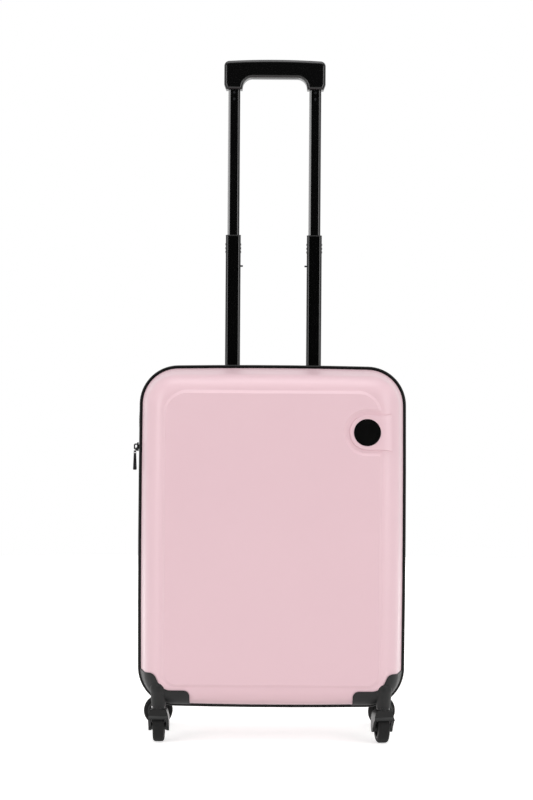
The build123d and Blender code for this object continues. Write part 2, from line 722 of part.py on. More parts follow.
def tyre():
    body = Cylinder(WHEEL_RADIUS, WHEEL_WIDTH)
    body = fillet(body.edges(), TYRE_ROUND)
    return crosswise(body - Cylinder(HUB_RADIUS + SEAT, WHEEL_WIDTH))


def axle():
    return crosswise(Cylinder(AXLE_RADIUS, FORK_WIDTH))


# Zip slider with its bail, and the pull that hangs on the bail's lower leg

PLATE_IN = -HALF_WIDTH - SLIDER_LIFT
PLATE_OUT = PLATE_IN - SLIDER_PLATE
BAIL_OUT = PLATE_OUT - BAIL_RISE
LEG_Z = SLIDER_HEIGHT - BAIL_LENGTH / 2 + BAIL_WIRE


def bail():
    """Round wire arch on the slider's plate."""
    high = LEG_Z + BAIL_LENGTH - 2 * BAIL_WIRE
    foot, crest = (PLATE_IN + PLATE_OUT) / 2, BAIL_OUT + BAIL_WIRE
    bends = [(foot, 0, LEG_Z), (crest, 0, LEG_Z), (crest, 0, high), (foot, 0, high)]
    line = FilletPolyline(*bends, radius=BAIL_BEND)
    return sweep(Plane((foot, 0, LEG_Z), z_dir=(-1, 0, 0)) * Circle(BAIL_WIRE), path=line)


def zip_slider():
    """Outer plate and bail, a post between the coils, and an inner plate behind them."""
    along = around(SLIDER_HEIGHT, SLIDER_LENGTH / 2)
    plate = block((PLATE_OUT, PLATE_IN), around(0, SLIDER_WIDTH / 2), along)
    plate = fillet(plate.edges().filter_by(Axis.X), SLIDER_ROUND)
    plate = chamfer(plate.faces().sort_by(Axis.X)[0].edges(), SLIDER_EDGE)
    inner_face = -HALF_WIDTH + COIL_SUNK + COIL_THICK + SIDE_BOW + CLEAR
    post = block((PLATE_IN, inner_face), around(0, COIL_NEAR - CLEAR), around(SLIDER_HEIGHT, SLIDER_POST / 2))
    back = block((inner_face, inner_face + SLIDER_PLATE), around(0, SLIDER_WIDTH / 2 - CLEAR), along)
    return plate + post + back + bail()


def zip_pull():
    """Loop round the bail's lower leg, and a tapered tab below it with an eye in its neck."""
    loop_face, loop_end = PLATE_OUT - CLEAR, BAIL_OUT + 2 * (BAIL_WIRE + CLEAR)
    bore = BAIL_WIRE + CLEAR
    loop = Cylinder(bore + PULL_LOOP_WALL, loop_face - loop_end)
    loop = Pos((loop_face + loop_end) / 2, 0, LEG_Z) * Rot(0, 90, 0) * loop
    middle = loop_face - PULL_FOOT / 2
    top, low = LEG_Z - BAIL_WIRE - PULL_LOOP_WALL + CLEAR, LEG_Z - PULL_LENGTH
    neck, foot = PULL_NECK / 2, PULL_FOOT / 2
    tab = make_face(Polyline((middle - neck, top), (middle + neck, top), (middle + foot, low),
                             (middle - foot, low), close=True))
    tab = fillet(tab.vertices().group_by(Axis.Y)[0], PULL_ROUND)
    tab -= Pos(middle, LEG_Z - PULL_EYE_DROP) * Circle(PULL_EYE_RADIUS)
    body = loop + extrude(at_depth(0) * tab, amount=PULL_THICK / 2, both=True)
    return body - Pos(loop_face, 0, LEG_Z) * Rot(0, 90, 0) * Cylinder(bore, 2 * BAIL_RISE)


# Named pieces

def mirrored(solid):
    return mirror(solid, Plane.YZ)


def case_nodes():
    nodes = {"front_badge": badge_disc(0), "rear_piping_sleeve": piping_sleeve()}
    for side, half in ((FRONT, "front"), (REAR, "rear")):
        shell = half_shell(side) - both_sides(housing(side, SEAT))
        if side == REAR:
            shell -= upright(cup_plan(CUP_WALL + SEAT), OUTER_TOP - SEAT, RIM_TOP)
        guard = corner_guard(side)
        nodes |= {
            f"{half}_shell": shell,
            f"{half}_piping": piping(side),
            f"{half}_zip_tape": zip_tape(side),
            f"{half}_zip_coil": zip_coil(side),
            f"{half}_hinge_tape": hinge_tape(side),
            f"{half}_lining": half_lining(side),
            f"{half}_guard_right": guard,
            f"{half}_guard_left": mirrored(guard),
            f"{half}_swivel_pins": both_sides(swivel_pin(side, 0)),
        }
    return nodes


def handle_nodes():
    whole_grip = grip()
    nodes = {
        "handle_bezel": handle_cup(),
        "tube_foot_bracket": foot_bracket(),
        "packing_straps": packing_straps(),
        "strap_buckle": strap_buckle(),
        "stop_pins": both_sides(stop_pin(0)),
        "lower_end_bushes": both_sides(
            end_bush(LOWER_WIDTH, LOWER_DEPTH, OUTER_WIDTH, OUTER_DEPTH, LOWER_BOTTOM)),
        "upper_end_bushes": both_sides(
            end_bush(UPPER_WIDTH, UPPER_DEPTH, LOWER_WIDTH, LOWER_DEPTH, UPPER_BOTTOM)),
        "tube_rivets": Compound(children=[r for rivet in tube_rivets(0) for r in (rivet, mirrored(rivet))]),
        "grip_front": whole_grip & block((-FAR, FAR), (-FAR, HANDLE_Y), (0, 2 * GRIP_TOP)),
        "grip_back": whole_grip & block((-FAR, FAR), (HANDLE_Y, FAR), (0, 2 * GRIP_TOP)),
        "release_trigger": trigger(0, 0),
        "push_rods": both_sides(push_rod()),
    }
    for name, make in (("outer_tube", outer_tube), ("lower_tube", lower_tube), ("collar", collar),
                       ("upper_tube", upper_tube)):
        solid = make()
        nodes |= {f"{name}_right": solid, f"{name}_left": mirrored(solid)}
    return nodes


def caster_nodes():
    nodes = {}
    casters = (("front_left", LEFT, FRONT, 0.0), ("front_right", RIGHT, FRONT, FRONT_RIGHT_YAW),
               ("rear_left", LEFT, REAR, REAR_LEFT_YAW), ("rear_right", RIGHT, REAR, REAR_RIGHT_YAW))
    pieces = {"fork": fork(), "axle": axle(), "hub": hub(), "tyre": tyre()}
    for corner, x_side, y_side, yaw in casters:
        place = Location((x_side * CASTER_X, CASTER_Y[y_side], 0), (0, 0, yaw))
        nodes |= {f"{corner}_{piece}": place * solid for piece, solid in pieces.items()}
    return nodes


os.makedirs("parts", exist_ok=True)
zip_nodes = {"zip_slider": zip_slider(), "zip_pull": zip_pull()}
for name, solid in (case_nodes() | handle_nodes() | caster_nodes() | zip_nodes).items():
    export_step(solid, f"parts/{name}.step")
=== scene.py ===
import math

import bmesh
import bpy
from mathutils import Matrix, Vector, noise


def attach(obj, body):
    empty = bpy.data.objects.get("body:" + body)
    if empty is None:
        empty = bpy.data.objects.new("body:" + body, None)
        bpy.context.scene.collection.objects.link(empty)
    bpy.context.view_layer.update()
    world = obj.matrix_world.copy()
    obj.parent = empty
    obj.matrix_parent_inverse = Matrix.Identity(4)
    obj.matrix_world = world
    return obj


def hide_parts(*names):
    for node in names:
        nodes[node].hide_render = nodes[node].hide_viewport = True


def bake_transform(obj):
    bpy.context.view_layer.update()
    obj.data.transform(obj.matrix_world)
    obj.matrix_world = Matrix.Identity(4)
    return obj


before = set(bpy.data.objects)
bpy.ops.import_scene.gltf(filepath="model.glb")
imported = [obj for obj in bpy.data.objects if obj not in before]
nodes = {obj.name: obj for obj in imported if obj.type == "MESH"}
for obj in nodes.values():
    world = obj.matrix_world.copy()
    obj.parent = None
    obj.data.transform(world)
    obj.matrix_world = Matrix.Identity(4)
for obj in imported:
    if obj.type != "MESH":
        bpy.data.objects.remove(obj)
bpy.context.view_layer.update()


# Front and rear shells
# Two vacuum-formed halves of pale pink ABS, satin from the mould. The sheet has a faint orange-peel
# grain that softens the highlights, and its colour drifts very slightly where it was drawn thinner.

def linear(hex_colour):
    """sRGB hex to the linear colour that a shader socket takes."""
    values = [int(hex_colour[i:i + 2], 16) / 255 for i in (1, 3, 5)]
    return (*[v / 12.92 if v <= 0.04045 else ((v + 0.055) / 1.055) ** 2.4 for v in values], 1.0)


def add_node(tree, kind, values=None, links=None, **settings):
    """One shader node with its settings, its socket values and the links into it."""
    node = tree.nodes.new(kind)
    for name, value in settings.items():
        setattr(node, name, value)
    for socket, value in (values or {}).items():
        node.inputs[socket].default_value = value
    for socket, (source, output) in (links or {}).items():
        tree.links.new(source.outputs[output], node.inputs[socket])
    return node


def start_material(name):
    """A new material with its node tree, its surface shader and its texture coordinates."""
    material = bpy.data.materials.new(name)
    material.use_nodes = True
    tree = material.node_tree
    shader = tree.nodes["Principled BSDF"]
    place = add_node(tree, "ShaderNodeTexCoord")
    return material, tree, shader, place


def set_shader(tree, shader, links, values):
    """Brings a material's patterns, and the values that are the same all over, to its shader."""
    for socket, (source, output) in links.items():
        tree.links.new(source.outputs[output], shader.inputs[socket])
    for socket, value in values.items():
        shader.inputs[socket].default_value = value


def dress(material, *names):
    """Gives CAD nodes their finish."""
    for name in names:
        nodes[name].data.materials.clear()
        nodes[name].data.materials.append(material)


def pink_abs():
    """Moulded ABS sheet: soft satin gloss over an orange-peel grain about 1.5 mm across."""
    material, tree, shader, place = start_material("satin_pink_abs")
    drift = add_node(tree, "ShaderNodeTexNoise", {"Scale": 1 / 0.2, "Detail": 2.0},
                     {"Vector": (place, "Object")})
    colour = add_node(tree, "ShaderNodeMix", {"A": linear("#E0BFC6"), "B": linear("#DCBAC2")},
                      {"Factor": (drift, "Fac")}, data_type="RGBA")
    grain = add_node(tree, "ShaderNodeTexNoise", {"Scale": 1 / 0.0015, "Detail": 1.0},
                     {"Vector": (place, "Object")})
    gloss = add_node(tree, "ShaderNodeMapRange", {"To Min": 0.34, "To Max": 0.44},
                     {"Value": (grain, "Fac")})
    bump = add_node(tree, "ShaderNodeBump", {"Strength": 0.06, "Distance": 0.0003},
                    {"Height": (grain, "Fac")})
    set_shader(tree, shader, {"Base Color": (colour, "Result"), "Roughness": (gloss, "Result"),
                              "Normal": (bump, "Normal")}, {"IOR": 1.62})
    return material


dress(pink_abs(), "front_shell", "rear_shell")


# Binding round the rim of each half
# Extruded black vinyl with a rounded back, pushed over the edge of the shell and welded end to end
# under a short sleeve below the middle of the case.

def black_vinyl():
    """Extruded vinyl: semi-gloss, with a slight waviness about 6 mm long."""
    material, tree, shader, place = start_material("extruded_black_vinyl")
    ripple = add_node(tree, "ShaderNodeTexNoise", {"Scale": 1 / 0.006, "Detail": 3.0},
                      {"Vector": (place, "Object")})
    gloss = add_node(tree, "ShaderNodeMapRange", {"To Min": 0.3, "To Max": 0.44},
                     {"Value": (ripple, "Fac")})
    bump = add_node(tree, "ShaderNodeBump", {"Strength": 0.1, "Distance": 0.0006},
                    {"Height": (ripple, "Fac")})
    set_shader(tree, shader, {"Roughness": (gloss, "Result"), "Normal": (bump, "Normal")},
               {"Base Color": linear("#040404"), "IOR": 1.33})
    return material


dress(black_vinyl(), "front_piping", "rear_piping", "rear_piping_sleeve")


# Zip tapes
# Woven polyester tapes run round the rim from hinge to hinge, sewn under the binding of each half.
# The band bulges a little on the left above the slider, where the case was last filled and closed.

RIM_HALF, RIM_LOW, RIM_HIGH = 0.199, 0.041, 0.550  # metres, as all sizes in this file
RIM_MIDDLE = (RIM_LOW + RIM_HIGH) / 2
RIM_RISE = (RIM_HIGH - RIM_LOW) / 2
RIM_CORNER = 0.058
SIDE_BOW, END_BOW = 0.0015, 0.0025
HINGE_HALF = 0.185
TOOTH_PITCH = 0.0024
TAPE_START, TAPE_END = 0.0036, 0.0091
TAPE_SUNK, TAPE_CROWN, TAPE_THICK = 0.0014, 0.0006, 0.0008
TAPE_ROWS = 4
TAPE_THREAD = 0.0009
BULGE_LOW, BULGE_HIGH, BULGE = 0.430, 0.505, 0.0016
HALVES = {"front": (-1, "front_case"), "rear": (1, "rear_case")}
WAVE_RADIANS = 20  # a wave texture of scale 1 turns through this angle in each metre


def rim_path(inset, pitch):
    """Open wire along the rim outline from hinge to hinge, with its vertices a pitch apart."""
    half, rise = RIM_HALF - SIDE_BOW, RIM_RISE - END_BOW
    radius = RIM_CORNER - inset
    wire = bmesh.new()
    size = Matrix.Diagonal((half - inset, rise - inset, 1.0, 1.0))
    bmesh.ops.create_grid(wire, x_segments=1, y_segments=1, size=1.0,
                          matrix=Matrix.Rotation(math.radians(90), 4, "X") @ size)
    bmesh.ops.bevel(wire, geom=wire.verts[:], offset=radius, affect="VERTICES", profile=0.5,
                    material=-1, segments=round(radius * math.pi / 2 / pitch))
    bmesh.ops.delete(wire, geom=wire.faces[:], context="FACES_ONLY")
    for edge in [edge for edge in wire.edges if edge.calc_length() > 2 * pitch]:
        cuts = round(edge.calc_length() / pitch) - 1
        bmesh.ops.subdivide_edges(wire, edges=[edge], cuts=cuts)
    for vert in wire.verts:
        across, up = vert.co.x / half, vert.co.z / rise
        vert.co.x += across * SIDE_BOW * (1 - up * up)
        vert.co.z += up * END_BOW * (1 - across * across) + RIM_MIDDLE
    hinge_side = [v for v in wire.verts if v.co.x > RIM_HALF - RIM_CORNER / 2
                  and abs(v.co.z - RIM_MIDDLE) < HINGE_HALF]
    bmesh.ops.delete(wire, geom=hinge_side, context="VERTS")
    return wire


def walk(wire):
    """The wire's vertices in order from one end to the other."""
    vert = next(v for v in wire.verts if len(v.link_edges) == 1)
    ordered, edge = [vert], vert.link_edges[0]
    while edge:
        vert = edge.other_vert(vert)
        ordered.append(vert)
        edge = next((e for e in vert.link_edges if e is not edge), None)
    return ordered


def bulge(spot):
    """How far the zip band stands out at a place on the left side."""
    if spot.x > 0 or not BULGE_LOW < spot.z < BULGE_HIGH:
        return Vector()
    rise = math.sin(math.pi * (spot.z - BULGE_LOW) / (BULGE_HIGH - BULGE_LOW)) ** 2
    return Vector((-BULGE * rise, 0, 0))


def grow_edges(builder, edges, step):
    """Extrudes a run of edges by a step, and gives the new edges and their vertices."""
    grown = bmesh.ops.extrude_edge_only(builder, edges=edges)["geom"]
    verts = [item for item in grown if isinstance(item, bmesh.types.BMVert)]
    bmesh.ops.translate(builder, verts=verts, vec=step)
    return [item for item in grown if isinstance(item, bmesh.types.BMEdge)], verts


def face_outwards(builder):
    """Turns the faces of an open band so that they look away from the middle of the case."""
    builder.normal_update()
    middle = Vector((0, 0, RIM_MIDDLE))
    inward = [f for f in builder.faces if f.normal.dot(f.calc_center_median() - middle) < 0]
    bmesh.ops.reverse_faces(builder, faces=inward)
    builder.normal_update()


def map_weave(builder, spot):
    """UV map in metres, so that a weave follows the band, from a function of each vertex."""
    uv = builder.loops.layers.uv.new("weave")
    for face in builder.faces:
        for loop in face.loops:
            loop[uv].uv = spot(loop.vert)


def place_object(name, builder):
    """Makes a finished bmesh a mesh object in the scene."""
    mesh = bpy.data.meshes.new(name)
    builder.to_mesh(mesh)
    builder.free()
    made = bpy.data.objects.new(name, mesh)
    bpy.context.scene.collection.objects.link(made)
    return made


def add_piece(name, builder, material, body):
    """Makes a finished bmesh a piece with its finish, riding on a body if one is given."""
    piece = place_object(name, builder)
    piece.data.materials.append(material)
    piece.data.shade_smooth()
    if body:
        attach(piece, body)
    return piece


def thicken(piece, thickness, offset=-1.0):
    """Gives one layer of cloth its thickness, behind its faces unless an offset is given."""
    layer = piece.modifiers.new("thickness", "SOLIDIFY")
    layer.thickness, layer.offset = thickness, offset


def woven_tape():
    """Polyester tape in a plain weave: threads about 0.5 mm apart, drawn at 0.9 mm to show."""
    material, tree, shader, place = start_material("woven_polyester_tape")
    across, along = [add_node(tree, "ShaderNodeTexWave",
                              {"Scale": math.tau / (WAVE_RADIANS * TAPE_THREAD)},
                              {"Vector": (place, "UV")}, bands_direction=axis) for axis in "XY"]
    weave = add_node(tree, "ShaderNodeMath", links={0: (across, "Fac"), 1: (along, "Fac")},
                     operation="MULTIPLY")
    tone = add_node(tree, "ShaderNodeMix", {"A": linear("#151516"), "B": linear("#2C2C2E")},
                    {"Factor": (weave, "Value")}, data_type="RGBA")
    bump = add_node(tree, "ShaderNodeBump", {"Strength": 0.5, "Distance": 0.0003},
                    {"Height": (weave, "Value")})
    set_shader(tree, shader, {"Base Color": (tone, "Result"), "Normal": (bump, "Normal")},
               {"Roughness": 0.75, "Sheen Weight": 0.2})
    return material


def zip_tape(side):
    """Thin band crowned across its width, mapped by its length and width."""
    strip = rim_path(TAPE_SUNK, TOOTH_PITCH)
    length = strip.verts.layers.float.new("length")
    for i, vert in enumerate(walk(strip)):
        vert[length] = i * TOOTH_PITCH
    for vert in strip.verts:
        vert.co += bulge(vert.co)
        vert.co.y = side * TAPE_START
    edges = strip.edges[:]
    row_step = (0, side * (TAPE_END - TAPE_START) / TAPE_ROWS, 0)
    for _ in range(TAPE_ROWS):
        edges, _ = grow_edges(strip, edges, row_step)
    face_outwards(strip)
    for vert in strip.verts:
        share = (abs(vert.co.y) - TAPE_START) / (TAPE_END - TAPE_START)
        vert.co += vert.normal * TAPE_CROWN * math.sin(math.pi * share)
    map_weave(strip, lambda vert: (vert[length], vert.co.y))
    return strip


tape_cloth = woven_tape()
for half, (side, body) in HALVES.items():
    tape = add_piece(f"{half}_woven_tape", zip_tape(side), tape_cloth, body)
    thicken(tape, TAPE_THICK)
    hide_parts(f"{half}_zip_tape")


# Zip teeth and tape stitching
# A coil of nylon monofilament is woven to the free edge of each tape, and its loops mesh with the
# other half's. A row of thread stitches holds the tape under the binding.

TOOTH_SUNK = 0.0018
TOOTH_MIDDLE = 0.0016
TOOTH_SIZE = (0.0006, 0.0020, 0.0011)
TOOTH_SHIFT = {"front": 0.0, "rear": 0.5}  # in pitches, so that the two rows mesh
STITCH_PITCH = 0.0048
STITCH_SUNK = TAPE_SUNK - TAPE_CROWN / 2
STITCH_DEPTH = 0.0081
STITCH_SIZE = (0.0015, 0.0003, 0.00028)
STITCH_SHIFT = 0.5
BEAD_SIDES, BEAD_RINGS = 8, 5
BEADS_AT_ONCE = 24  # a mesh is joined from short stretches, which is quicker than one long one


def along_rim(inset, pitch, depth, size, shift):
    """Small rounded beads set along the rim outline, each turned to follow it."""
    wire = rim_path(inset, pitch)
    spots = [vert.co.copy() for vert in walk(wire)]
    wire.free()
    beads = bmesh.new()
    stretch = bpy.data.meshes.new("stretch_of_beads")
    for start in range(0, len(spots) - 1, BEADS_AT_ONCE):
        few = bmesh.new()
        for spot, following in zip(spots[start:start + BEADS_AT_ONCE], spots[start + 1:]):
            ahead = (following - spot).normalized()
            out = ahead.cross(Vector((0, 1, 0)))
            turn = Matrix((ahead, (0, 1, 0), out)).transposed().to_4x4()
            middle = spot.lerp(following, shift)
            place = Matrix.Translation(middle + bulge(middle) + Vector((0, depth, 0)))
            bmesh.ops.create_uvsphere(few, u_segments=BEAD_SIDES, v_segments=BEAD_RINGS, radius=1.0,
                                      matrix=place @ turn @ Matrix.Diagonal((*size, 1.0)))
        few.to_mesh(stretch)
        few.free()
        beads.from_mesh(stretch)
    bpy.data.meshes.remove(stretch)
    return beads


def coil_nylon():
    """Nylon monofilament: smooth and slightly clear, so it takes small hard highlights."""
    material, tree, shader, place = start_material("black_nylon_monofilament")
    cloud = add_node(tree, "ShaderNodeTexNoise", {"Scale": 1 / 0.002, "Detail": 1.0},
                     {"Vector": (place, "Object")})
    tone = add_node(tree, "ShaderNodeMix", {"A": linear("#101011"), "B": linear("#1E1E20")},
                    {"Factor": (cloud, "Fac")}, data_type="RGBA")
    set_shader(tree, shader, {"Base Color": (tone, "Result")}, {"Roughness": 0.3, "IOR": 1.53})
    return material


def sewing_thread():
    """Spun polyester thread: dull, with a faint fleck from its twist."""
    material, tree, shader, place = start_material("spun_polyester_thread")
    twist = add_node(tree, "ShaderNodeTexNoise", {"Scale": 1 / 0.0006},
                     {"Vector": (place, "Object")})
    tone = add_node(tree, "ShaderNodeMix", {"A": linear("#1C1C1E"), "B": linear("#37373A")},
                    {"Factor": (twist, "Fac")}, data_type="RGBA")
    set_shader(tree, shader, {"Base Color": (tone, "Result")}, {"Roughness": 0.8})
    return material


monofilament, spun_thread = coil_nylon(), sewing_thread()
for half, (side, body) in HALVES.items():
    beads = along_rim(TOOTH_SUNK, TOOTH_PITCH, side * TOOTH_MIDDLE, TOOTH_SIZE, TOOTH_SHIFT[half])
    teeth = add_piece(f"{half}_zip_teeth", beads, monofilament, body)
    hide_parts(f"{half}_zip_coil")
    beads = along_rim(STITCH_SUNK, STITCH_PITCH, side * STITCH_DEPTH, STITCH_SIZE, STITCH_SHIFT)
    add_piece(f"{half}_tape_stitches", beads, spun_thread, body)


# Cloth hinge
# A strip of doubled polyester cloth, sewn under both bindings along the right side, is all that
# joins the halves there. On the case it folds on itself when laid open; here it is a flat strip, as
# closed, that rides on neither half.

HINGE_GAP = 0.0006
HINGE_OUT = 0.1976
HINGE_REACH = 0.0091
HINGE_THICK = 0.0008
HINGE_QUADS = (90, 14)


def hinge_cloth():
    """Strip across the parting plane, crowned outwards, that follows the bow of the side."""
    strip = bmesh.new()
    turn = Matrix.Rotation(math.radians(90), 4, "Y")
    size = Matrix.Diagonal((1.0, HINGE_REACH, HINGE_HALF - HINGE_GAP, 1.0))
    place = Matrix.Translation((HINGE_OUT, 0, RIM_MIDDLE))
    bmesh.ops.create_grid(strip, x_segments=HINGE_QUADS[0], y_segments=HINGE_QUADS[1], size=1.0,
                          matrix=place @ size @ turn)
    for vert in strip.verts:
        crown = TAPE_CROWN * (1 - (vert.co.y / HINGE_REACH) ** 2)
        vert.co.x += crown - SIDE_BOW * ((vert.co.z - RIM_MIDDLE) / RIM_RISE) ** 2
    face_outwards(strip)
    map_weave(strip, lambda vert: (vert.co.z, vert.co.y))
    return strip


hinge = add_piece("hinge_cloth", hinge_cloth(), tape_cloth, None)
thicken(hinge, HINGE_THICK)
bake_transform(hinge)
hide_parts("rear_hinge_tape", "front_hinge_tape")


# Linings
# Each half is lined with grey polyester taffeta, sewn into a loose tub and tucked behind the
# binding. It tents over the caster housings and, in the rear half, over the trolley tubes.

LINING_NEAR, LINING_SPARE, LINING_FAR = 0.0163, 0.0120, 0.0940
LINING_HALF, LINING_RISE = 0.1895, 0.2442
LINING_CORNER, CORNER_STEPS = 0.050, 8
LINING_DRAFT = {"front": math.tan(math.radians(9)), "rear": math.tan(math.radians(6))}
LINING_EDGE, EDGE_STEPS = {"front": 0.025, "rear": 0.017}, 5
LINING_QUAD = 0.006
LINING_THICK = 0.0008
LINING_THREAD = 0.0014
TENT_X, TENT_Y, TENT_TOP = 0.163, {"front": 0.083, "rear": 0.076}, 0.106
TENT_FOOT_RADIUS, TENT_TOP_RADIUS, TENT_SIDES = 0.031, 0.020, 24
TUNNEL_HALF, TUNNEL_NEAR, TUNNEL_LOW = 0.0935, 0.0482, 0.1345
STRAP_Y, STRAP_Z, STRAP_HALF = 0.0445, 0.300, 0.015
RIM_EASE, STRAP_EASE = 0.03, 0.04  # how far from the binding and the straps the cloth comes loose
STRAP_HOLD, DEPTH_HOLD = 1.4, 0.05  # reach of that hold, in half straps and per metre of depth
PUCKER, PUCKER_MEAN, PUCKER_SWING = 0.0032, 0.5, 0.9
BROAD_FOLD, BROAD_SHARE = 16, 0.65  # folds in each metre, and their part of a pucker
FINE_FOLD, FINE_SHARE, FINE_START = 38, 0.35, Vector((7, 3, 5))
SMOOTH_TURNS, SMOOTH_FACTOR, SETTLE_FACTOR = 3, 0.5, 0.3


def lining_block(half, side):
    """Closed rounded block that fills the room in one half, drafted like the shell."""
    block = bmesh.new()
    near = LINING_NEAR - LINING_SPARE
    size = Matrix.Diagonal((LINING_HALF, (LINING_FAR - near) / 2, LINING_RISE, 1.0))
    place = Matrix.Translation((0, side * (LINING_FAR + near) / 2, RIM_MIDDLE))
    bmesh.ops.create_cube(block, size=2.0, matrix=place @ size)
    level = [e for e in block.edges if abs(e.verts[0].co.y - e.verts[1].co.y) > LINING_NEAR]
    bmesh.ops.bevel(block, geom=level, offset=LINING_CORNER, affect="EDGES", segments=CORNER_STEPS,
                    profile=0.5, material=-1)
    outer = [e for e in block.edges
             if all(abs(v.co.y) > LINING_FAR - LINING_THICK for v in e.verts)]
    bmesh.ops.bevel(block, geom=outer, offset=LINING_EDGE[half], affect="EDGES",
                    segments=EDGE_STEPS, profile=0.5, material=-1)
    for vert in block.verts:
        inset = LINING_DRAFT[half] * (abs(vert.co.y) - LINING_NEAR)
        vert.co.x *= 1 - inset / LINING_HALF
        vert.co.z += (RIM_MIDDLE - vert.co.z) * inset / LINING_RISE
    return block


def lining_cutter(half, side):
    """What pushes the cloth in: a cone over each caster housing, and the box over the tubes."""
    cutter = bmesh.new()
    for x in (-TENT_X, TENT_X):
        place = Matrix.Translation((x, side * TENT_Y[half], TENT_TOP / 2))
        bmesh.ops.create_cone(cutter, cap_ends=True, segments=TENT_SIDES, radius1=TENT_FOOT_RADIUS,
                              radius2=TENT_TOP_RADIUS, depth=TENT_TOP, matrix=place)
    if half == "rear":
        low, high, far = TUNNEL_LOW, 2 * RIM_HIGH, 2 * LINING_FAR
        size = Matrix.Diagonal((TUNNEL_HALF, (far - TUNNEL_NEAR) / 2, (high - low) / 2, 1.0))
        place = Matrix.Translation((0, (far + TUNNEL_NEAR) / 2, (high + low) / 2))
        bmesh.ops.create_cube(cutter, size=2.0, matrix=place @ size)
    return cutter


def even_cloth(half, side):
    """The block less what pushes in, as an open tub of even quads about 6 mm across."""
    block = place_object("lining_block", lining_block(half, side))
    cutter = place_object("lining_cutter", lining_cutter(half, side))
    cut = block.modifiers.new("cut", "BOOLEAN")
    cut.operation, cut.solver, cut.object = "DIFFERENCE", "EXACT", cutter
    even = block.modifiers.new("even", "REMESH")
    even.mode, even.voxel_size = "VOXEL", LINING_QUAD
    shaped = block.evaluated_get(bpy.context.evaluated_depsgraph_get())
    mesh = bpy.data.meshes.new_from_object(shaped)
    tub = bmesh.new()
    tub.from_mesh(mesh)
    # Removing a mesh takes the object that uses it out of the scene too.
    for used in (block.data, cutter.data, mesh):
        bpy.data.meshes.remove(used)
    bmesh.ops.bisect_plane(tub, geom=tub.verts[:] + tub.edges[:] + tub.faces[:], clear_inner=True,
                           plane_co=(0, side * LINING_NEAR, 0), plane_no=(0, side, 0))
    return tub


def slack(spot):
    """How loosely the cloth lies, from 0 where it is sewn or strapped down to 1 in the open."""
    rim = (abs(spot.y) - LINING_NEAR) / RIM_EASE
    strap = 1.0
    if spot.y > 0:
        beside = abs(spot.z - STRAP_Z) - STRAP_HOLD * STRAP_HALF
        strap = max(beside, DEPTH_HOLD * abs(spot.y - STRAP_Y)) / STRAP_EASE
    return max(0.0, min(1.0, rim, strap))


def smooth_cloth(tub, verts, factor):
    """One pass of smoothing in all directions."""
    bmesh.ops.smooth_vert(tub, verts=verts, factor=factor, use_axis_x=True, use_axis_y=True,
                          use_axis_z=True)


def lining_tub(half, side):
    """Tub of cloth that follows the bow of the rim, smoothed, with soft puckers pushed inwards."""
    tub = even_cloth(half, side)
    for vert in tub.verts:
        across, up = vert.co.x / LINING_HALF, (vert.co.z - RIM_MIDDLE) / LINING_RISE
        vert.co.x += across * SIDE_BOW * (1 - up * up)
        vert.co.z += up * END_BOW * (1 - across * across)
    inner = [v for v in tub.verts if not v.is_boundary]
    for _ in range(SMOOTH_TURNS):
        smooth_cloth(tub, inner, SMOOTH_FACTOR)
    tub.normal_update()
    pushes = {}
    for vert in inner:
        folds = (BROAD_SHARE * noise.noise(vert.co * BROAD_FOLD)
                 + FINE_SHARE * noise.noise(vert.co * FINE_FOLD + FINE_START))
        depth = max(0.0, min(1.0, PUCKER_MEAN + PUCKER_SWING * folds))
        pushes[vert] = -vert.normal * PUCKER * slack(vert.co) * depth
    for vert, push in pushes.items():
        vert.co += push
    smooth_cloth(tub, inner, SETTLE_FACTOR)
    return tub


def grey_taffeta():
    """Plain-woven polyester with a soft sheen: fine threads, drawn 1.4 mm apart to show."""
    material, tree, shader, place = start_material("grey_polyester_taffeta")
    waves = [add_node(tree, "ShaderNodeTexWave",
                      {"Scale": math.tau / (WAVE_RADIANS * LINING_THREAD)},
                      {"Vector": (place, "Object")}, bands_direction=axis) for axis in "XYZ"]
    pair = add_node(tree, "ShaderNodeMath", links={0: (waves[0], "Fac"), 1: (waves[1], "Fac")},
                    operation="ADD")
    weave = add_node(tree, "ShaderNodeMath", links={0: (pair, "Value"), 1: (waves[2], "Fac")},
                     operation="ADD")
    share = add_node(tree, "ShaderNodeMapRange", {"From Max": float(len(waves))},
                     {"Value": (weave, "Value")})
    tone = add_node(tree, "ShaderNodeMix", {"A": linear("#6A686C"), "B": linear("#767378")},
                    {"Factor": (share, "Result")}, data_type="RGBA")
    bump = add_node(tree, "ShaderNodeBump", {"Strength": 0.12, "Distance": 0.0003},
                    {"Height": (share, "Result")})
    set_shader(tree, shader, {"Base Color": (tone, "Result"), "Normal": (bump, "Normal")},
               {"Roughness": 0.6, "Sheen Weight": 0.35})
    return material


taffeta = grey_taffeta()
for half, (side, body) in HALVES.items():
    cloth = add_piece(f"{half}_lining_cloth", lining_tub(half, side), taffeta, body)
    thicken(cloth, LINING_THICK)
    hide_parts(f"{half}_lining")


# Packing straps
# Two bands of black polypropylene webbing, each sewn to the side of the rear lining by a turned
# tab, meet in a side-release buckle of moulded nylon.

STRAP_START, STRAP_WALL = 0.0156, 0.1793
STRAP_THICK = 0.0014
STRAP_SAG = 0.0012
STRAP_QUADS = (48, 6)
STRAP_RIB = 0.0015
TAB_STEP, TAB_STEPS, BEND_STEPS = 0.004, 5, 3
TAB_LEAN = math.radians(96)


